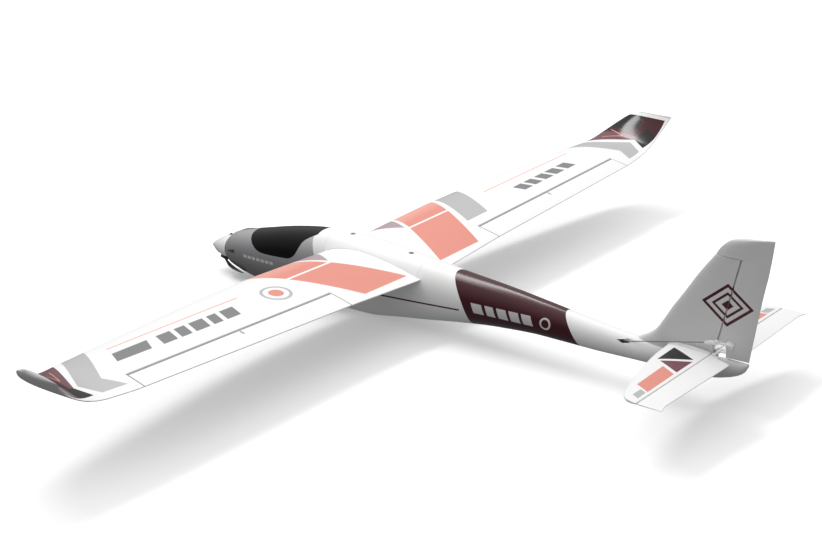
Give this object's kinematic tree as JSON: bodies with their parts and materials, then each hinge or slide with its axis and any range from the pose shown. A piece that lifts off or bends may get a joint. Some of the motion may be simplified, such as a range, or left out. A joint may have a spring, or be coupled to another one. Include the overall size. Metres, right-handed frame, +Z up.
{
  "type": "radio controlled electric sailplane",
  "caption": "Moulded foam radio controlled electric glider with upswept wing tips, folding nose propeller, lift-off canopy, and working ailerons, elevator and rudder.",
  "frame": {"origin": "on the flat of the belly, on the centre plane under the quarter chord of the wing root", "axes": "+X to the port (left) wing tip, +Y aft to the tail, +Z up"},
  "size_m": [1.4748, 1.0856, 0.2663],
  "materials": {
    "foam_white": "matte",
    "foam_grey": "matte",
    "canopy_black": "gloss",
    "moulded_black": "satin",
    "moulded_white": "satin",
    "carbon": "satin",
    "plywood": "matte",
    "steel": "satin",
    "magnet": "gloss",
    "motor_metal": "satin",
    "motor_core": "satin",
    "cell_wrap": "gloss",
    "strap": "matte"
  },
  "bodies": {
    "airframe": {"fuselage_left": "foam_white", "fuselage_right": "foam_white", "body_magnets": "magnet", "wing_saddle": "foam_white", "wing_left": "foam_white", "wing_right": "foam_white", "wing_ribs": "moulded_black", "wing_joiner": "carbon", "locating_pins": "moulded_black", "wing_bolts": "steel", "bolt_plates": "plywood", "servo_left": "moulded_black", "servo_right": "moulded_black", "servo_covers": "moulded_white", "stab_left": "foam_white", "stab_right": "foam_white", "stab_ribs": "moulded_white", "stab_tube": "carbon", "servo_elevator": "moulded_black", "servo_rudder": "moulded_black", "servo_screws": "steel", "servo_tray": "plywood", "elevator_guide": "moulded_white", "rudder_guide": "moulded_white", "tube_supports": "plywood", "equipment_tray": "plywood", "battery": "cell_wrap", "battery_strap": "strap", "speed_controller": "moulded_black", "receiver": "moulded_black", "motor_mount": "plywood", "motor_stator": "motor_core", "motor_screws": "steel"},
    "canopy": {"canopy": "canopy_black", "hatch_magnets": "magnet"},
    "propeller": {"motor_bell": "motor_metal", "motor_shaft": "steel", "blade_yoke": "moulded_black", "blade_pins": "steel", "spinner": "moulded_white"},
    "blade_a": {"blade_a": "moulded_black"},
    "blade_b": {"blade_b": "moulded_black"},
    "aileron_left": {"aileron_left": "foam_white", "horn_left": "moulded_white"},
    "aileron_right": {"aileron_right": "foam_white", "horn_right": "moulded_white"},
    "arm_left": {"arm_left": "moulded_white"},
    "arm_right": {"arm_right": "moulded_white"},
    "rod_left": {"rod_left": "steel"},
    "rod_right": {"rod_right": "steel"},
    "elevator": {"elevator_left": "foam_white", "elevator_right": "foam_white", "elevator_joiner": "moulded_white"},
    "arm_elevator": {"arm_elevator": "moulded_white"},
    "elevator_rod": {"elevator_rod": "steel"},
    "rudder": {"rudder": "foam_grey", "rudder_horn": "moulded_white"},
    "arm_rudder": {"arm_rudder": "moulded_white"},
    "rudder_rod": {"rudder_rod": "steel", "rudder_clevis": "moulded_white"}
  },
  "joints": [
    {"name": "hatch_lift", "type": "slide", "parent": "airframe", "child": "canopy", "axis": [0, 0, 1], "range_m": [0, 0.06]},
    {"name": "propeller_spin", "type": "hinge", "parent": "airframe", "child": "propeller", "pos_m": [0, -0.304, 0.044], "axis": [0, -0.9976, -0.0698], "continuous": true},
    {"name": "blade_a_fold", "type": "hinge", "parent": "propeller", "child": "blade_a", "pos_m": [0.01253, -0.31692, 0.02812], "axis": [-0.766, 0.0448, -0.6412], "range_deg": [0, 66]},
    {"name": "blade_b_fold", "type": "hinge", "parent": "propeller", "child": "blade_b", "pos_m": [-0.01253, -0.31901, 0.05792], "axis": [0.766, -0.0448, 0.6412], "range_deg": [0, 66]},
    {"name": "aileron_left_hinge", "type": "hinge", "parent": "airframe", "child": "aileron_left", "pos_m": [0.38194, 0.0913, 0.1069], "axis": [0.9993, 0, 0.0372], "range_deg": [-20, 20]},
    {"name": "arm_left_turn", "type": "hinge", "parent": "airframe", "child": "arm_left", "pos_m": [0.38172, 0.026, 0.113], "axis": [0.9993, 0, 0.0372], "range_deg": [-20, 20]},
    {"name": "rod_left_pin", "type": "hinge", "parent": "aileron_left", "child": "rod_left", "pos_m": [0.38239, 0.0913, 0.09491], "axis": [0.9993, 0, 0.0372], "range_deg": [-20, 20]},
    {"name": "aileron_right_hinge", "type": "hinge", "parent": "airframe", "child": "aileron_right", "pos_m": [-0.38194, 0.0913, 0.1069], "axis": [0.9993, 0, -0.0372], "range_deg": [-20, 20]},
    {"name": "arm_right_turn", "type": "hinge", "parent": "airframe", "child": "arm_right", "pos_m": [-0.38172, 0.026, 0.113], "axis": [0.9993, 0, -0.0372], "range_deg": [-20, 20]},
    {"name": "rod_right_pin", "type": "hinge", "parent": "aileron_right", "child": "rod_right", "pos_m": [-0.38239, 0.0913, 0.09491], "axis": [0.9993, 0, -0.0372], "range_deg": [-20, 20]},
    {"name": "elevator_hinge", "type": "hinge", "parent": "airframe", "child": "elevator", "pos_m": [0, 0.645, 0.084], "axis": [1, 0, 0], "range_deg": [-20, 20]},
    {"name": "arm_elevator_turn", "type": "hinge", "parent": "airframe", "child": "arm_elevator", "pos_m": [-0.003, 0.02, 0.064], "axis": [1, 0, 0], "range_deg": [-20, 20]},
    {"name": "elevator_rod_pin", "type": "hinge", "parent": "elevator", "child": "elevator_rod", "pos_m": [-0.003, 0.645, 0.072], "axis": [1, 0, 0], "range_deg": [-20, 20]},
    {"name": "rudder_hinge", "type": "hinge", "parent": "airframe", "child": "rudder", "pos_m": [0, 0.65231, 0.1069], "axis": [0, 0.2396, 0.9709], "range_deg": [-20, 20]},
    {"name": "arm_rudder_turn", "type": "hinge", "parent": "airframe", "child": "arm_rudder", "pos_m": [-0.001, -0.022, 0.0415], "axis": [0, 0, 1], "range_deg": [-20, 20]},
    {"name": "rudder_rod_pin", "type": "hinge", "parent": "rudder", "child": "rudder_rod", "pos_m": [0.012, 0.65231, 0.1069], "axis": [0, 0.2396, 0.9709], "range_deg": [-20, 20]}
  ],
  "couplings": [
    {"joint": "arm_left_turn", "follows": "aileron_left_hinge", "ratio": 1},
    {"joint": "rod_left_pin", "follows": "aileron_left_hinge", "ratio": -1},
    {"joint": "arm_right_turn", "follows": "aileron_right_hinge", "ratio": 1},
    {"joint": "rod_right_pin", "follows": "aileron_right_hinge", "ratio": -1},
    {"joint": "arm_elevator_turn", "follows": "elevator_hinge", "ratio": 1},
    {"joint": "elevator_rod_pin", "follows": "elevator_hinge", "ratio": -1},
    {"joint": "arm_rudder_turn", "follows": "rudder_hinge", "ratio": 0.971},
    {"joint": "rudder_rod_pin", "follows": "rudder_hinge", "ratio": -1}
  ]
}
